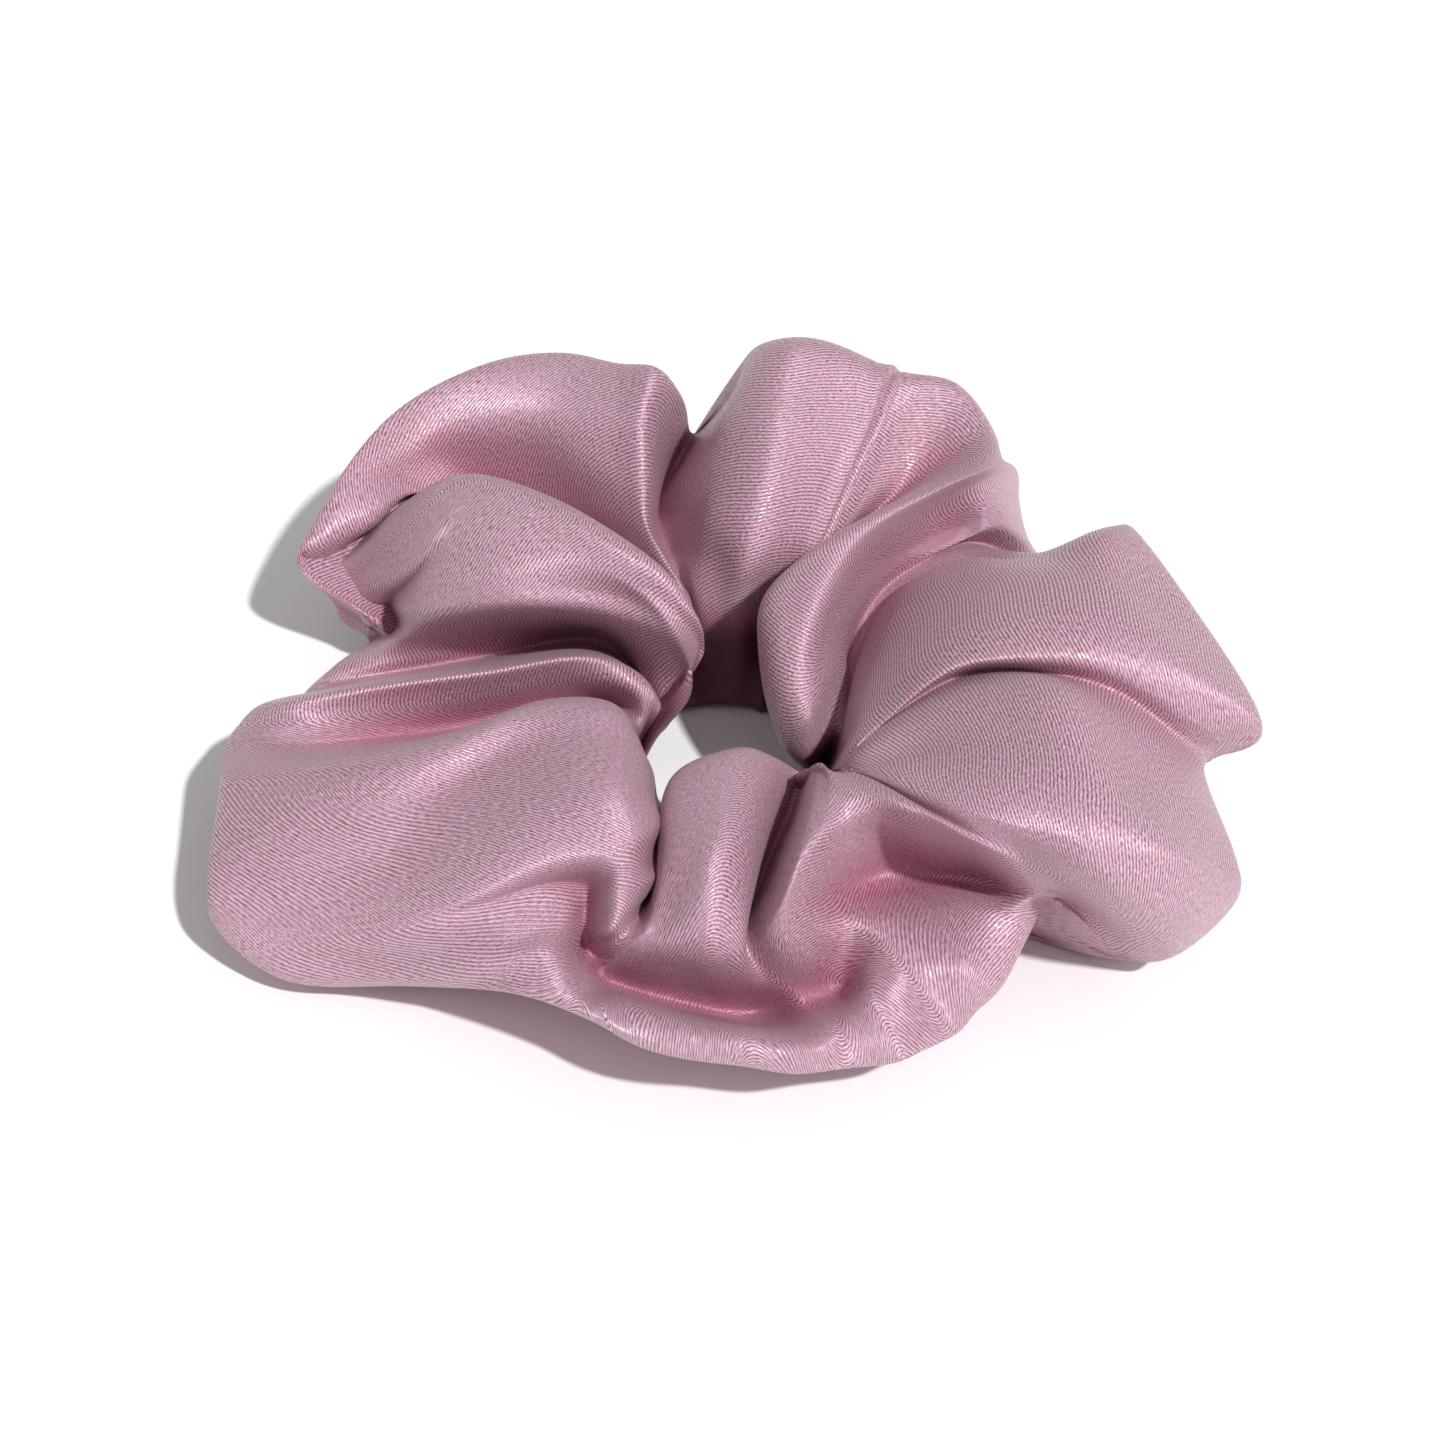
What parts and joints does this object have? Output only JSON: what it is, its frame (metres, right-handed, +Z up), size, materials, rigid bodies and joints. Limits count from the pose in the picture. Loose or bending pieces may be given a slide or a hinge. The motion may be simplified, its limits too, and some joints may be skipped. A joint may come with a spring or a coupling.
{
  "type": "scrunchie",
  "caption": "Gathered satin hair scrunchie: a sewn satin tube ruffled round a hidden loop of flat elastic, lying flat with a small hair hole in the middle.",
  "frame": {"origin": "bottom centre of the bounding box, where the lying ring's middle meets the surface under it", "axes": "+Z up through the hair hole, +X along the ring's longest side, +Y towards the closing seam's side of the ring"},
  "size_m": [0.1118, 0.111, 0.034],
  "materials": {
    "satin": "mauve polyester satin with a fine diagonal weave and a soft sheen",
    "elastic": "white braided flat elastic, matt",
    "thread": "mauve polyester sewing thread"
  },
  "bodies": {
    "ring": {"satin_cover": "satin", "elastic_band": "elastic", "tube_seam_needle_thread": "thread", "tube_seam_bobbin_thread": "thread"},
    "seam_side": {"elastic_join_thread": "thread", "closing_seam_needle_thread": "thread", "closing_seam_bobbin_thread": "thread"}
  },
  "joints": [
    {"name": "stretch", "type": "slide", "parent": "ring", "child": "seam_side", "axis": [0, 1, 0], "range_m": [0, 0.07], "stiffness_N_per_m": 60, "deforming": ["satin_cover", "elastic_band", "tube_seam_needle_thread", "tube_seam_bobbin_thread"]}
  ]
}
